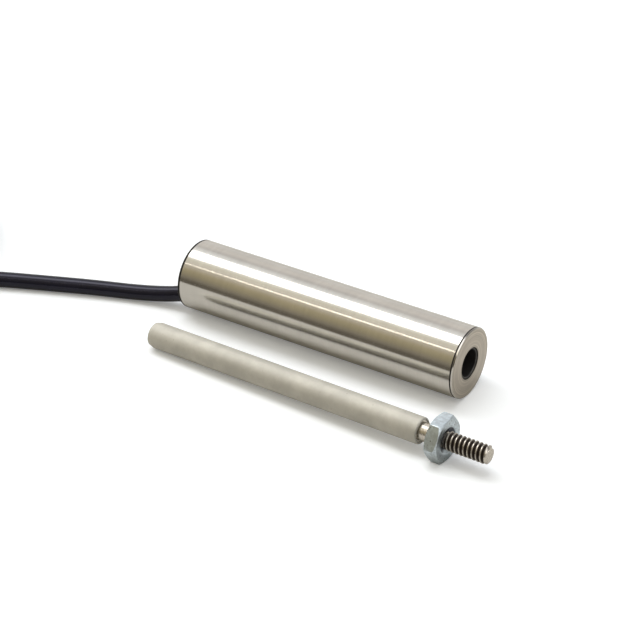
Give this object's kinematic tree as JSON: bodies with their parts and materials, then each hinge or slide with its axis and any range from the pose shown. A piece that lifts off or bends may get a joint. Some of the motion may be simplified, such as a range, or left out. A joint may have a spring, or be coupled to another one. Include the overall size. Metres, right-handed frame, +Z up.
{
  "type": "linear position sensor",
  "caption": "Cylindrical linear position sensor with a blind bore and a side cable, and its loose core rod with a threaded end and nut.",
  "frame": {"origin": "centre of the bore's mouth on the housing's front face", "axes": "+X out of the bore's mouth along the housing's axis, +Z up from the surface that the housing and the core rod lie on"},
  "size_m": [0.1541, 0.0386, 0.0126],
  "materials": {
    "housing_steel": "satin turned stainless steel",
    "liner_steel": "drawn stainless tube",
    "shield_alloy": "annealed nickel-iron sheet, matt",
    "form_plastic": "natural high-temperature plastic",
    "winding_copper": "enamelled copper wire",
    "tape": "amber film",
    "board": "glass-filled board",
    "contact_metal": "tinned brass",
    "conductors": "insulated wire",
    "cable_jacket": "smooth black jacket",
    "tie_plastic": "black strap",
    "wire_insulation": "coloured insulation",
    "rod_steel": "satin stainless tube",
    "core_alloy": "annealed nickel-iron",
    "stud_steel": "bright turned thread",
    "nut_zinc": "bright zinc plate"
  },
  "bodies": {
    "housing": {"housing_tube": "housing_steel", "front_cap": "housing_steel", "rear_cap": "housing_steel", "bore_liner": "liner_steel", "bore_end_plug": "liner_steel", "coil_form": "form_plastic", "front_secondary_winding": "winding_copper", "primary_winding": "winding_copper", "rear_secondary_winding": "winding_copper", "winding_tape": "tape", "magnetic_shield": "shield_alloy", "front_shield_washer": "shield_alloy", "rear_shield_washer": "shield_alloy", "terminal_board": "board", "terminal_pins": "contact_metal", "winding_leads": "winding_copper", "cable_conductors": "conductors", "cable_entry": "cable_jacket", "cable_clamp": "contact_metal", "sensor_cable": "cable_jacket", "cable_coil": "cable_jacket", "coil_tie": "tie_plastic", "lead_wires": "wire_insulation", "lead_tips": "contact_metal"},
    "core": {"core_tube": "rod_steel", "core_end_plug": "rod_steel", "magnetic_core": "core_alloy", "core_spacer": "rod_steel", "threaded_stud": "stud_steel"},
    "nut": {"hex_nut": "nut_zinc"}
  },
  "joints": [
    {"name": "core_travel", "type": "slide", "parent": "housing", "child": "core", "axis": [0.9991, -0.0433, 0], "range_m": [-0.01, 0.01]},
    {"name": "nut_turn", "type": "hinge", "parent": "core", "child": "nut", "pos_m": [0.0048, -0.01784, -0.00257], "axis": [0.9988, -0.0433, 0.0242], "continuous": true}
  ]
}
